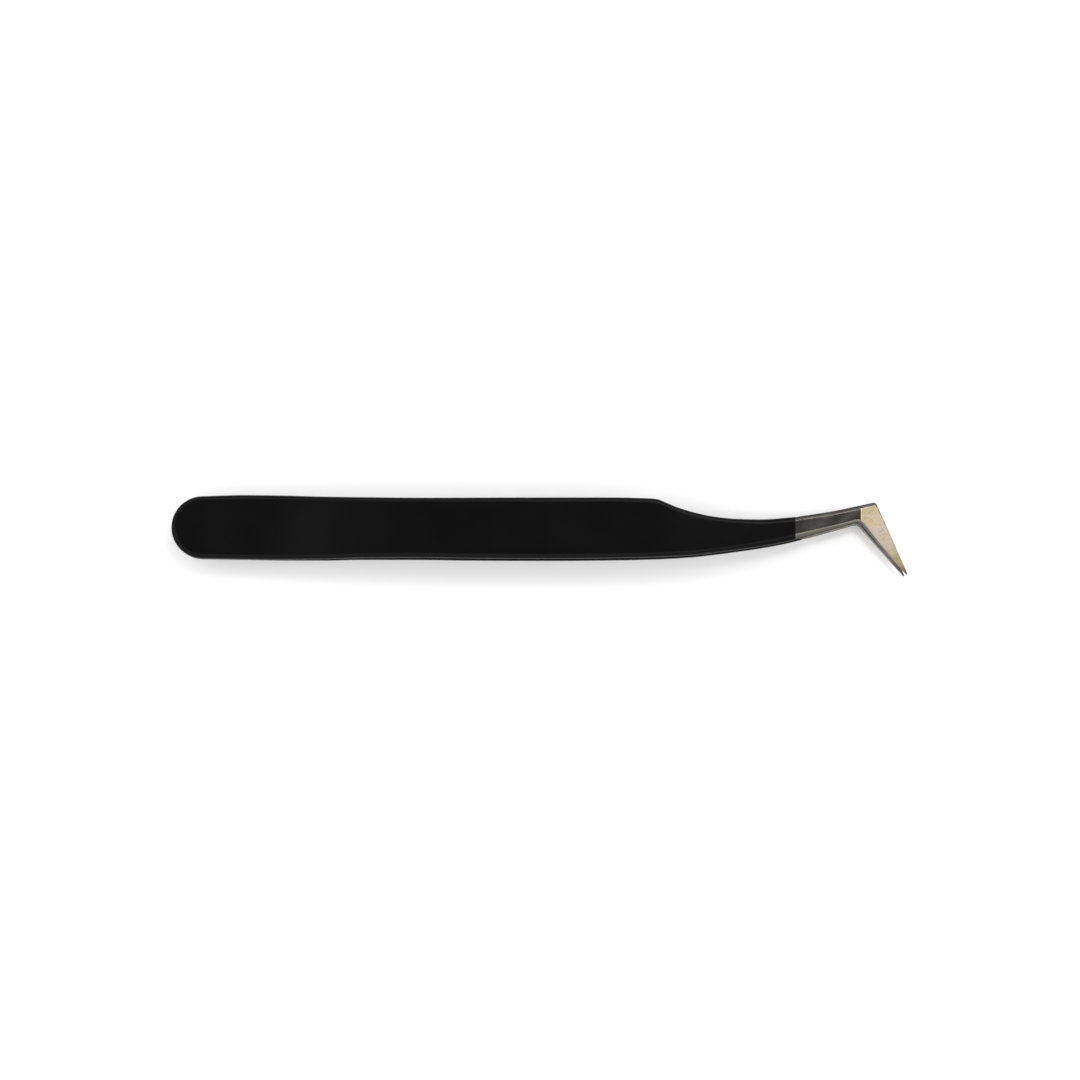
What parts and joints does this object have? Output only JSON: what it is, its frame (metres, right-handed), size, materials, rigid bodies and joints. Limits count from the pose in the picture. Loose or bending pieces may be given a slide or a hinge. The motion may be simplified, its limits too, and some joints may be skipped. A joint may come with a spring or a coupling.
{
  "type": "lash tweezers",
  "caption": "Angled lash-extension tweezers: sprung steel arms welded at the tail, with a black-coated grip, a bare neck and a pointed foot that turns sharply down.",
  "frame": {"origin": "on the surface that the tweezers lie on, under the middle of their box", "axes": "+X from the welded tail to the points, +Y across the flat of the arms away from the side the foot turns to, +Z the closing direction of the lower arm, up from the surface"},
  "size_m": [0.1203, 0.0132, 0.009],
  "materials": {
    "bare_steel": "ground stainless steel, satin, with fine cross-grinding marks at the foot",
    "weld_steel": "as-welded stainless steel bead, dull",
    "black_coat": "black epoxy coat, satin"
  },
  "bodies": {
    "tail": {"tail_coat": "black_coat", "upper_arm_root": "bare_steel", "lower_arm_root": "bare_steel", "tail_spacer": "bare_steel", "tail_weld_bead": "weld_steel"},
    "upper_arm": {"upper_arm": "bare_steel", "upper_arm_coat": "black_coat"},
    "lower_arm": {"lower_arm": "bare_steel", "lower_arm_coat": "black_coat"}
  },
  "joints": [
    {"name": "upper_arm_flex", "type": "hinge", "parent": "tail", "child": "upper_arm", "pos_m": [-0.04811, 0.00126, 0.00556], "axis": [0, 1, 0], "range_deg": [0, 1.5], "stiffness_Nm_per_rad": 1.5},
    {"name": "lower_arm_flex", "type": "hinge", "parent": "tail", "child": "lower_arm", "pos_m": [-0.04811, 0.00126, 0.00344], "axis": [0, 1, 0], "range_deg": [-1.5, 0], "stiffness_Nm_per_rad": 1.5}
  ],
  "couplings": [
    {"joint": "lower_arm_flex", "follows": "upper_arm_flex", "ratio": -1}
  ]
}
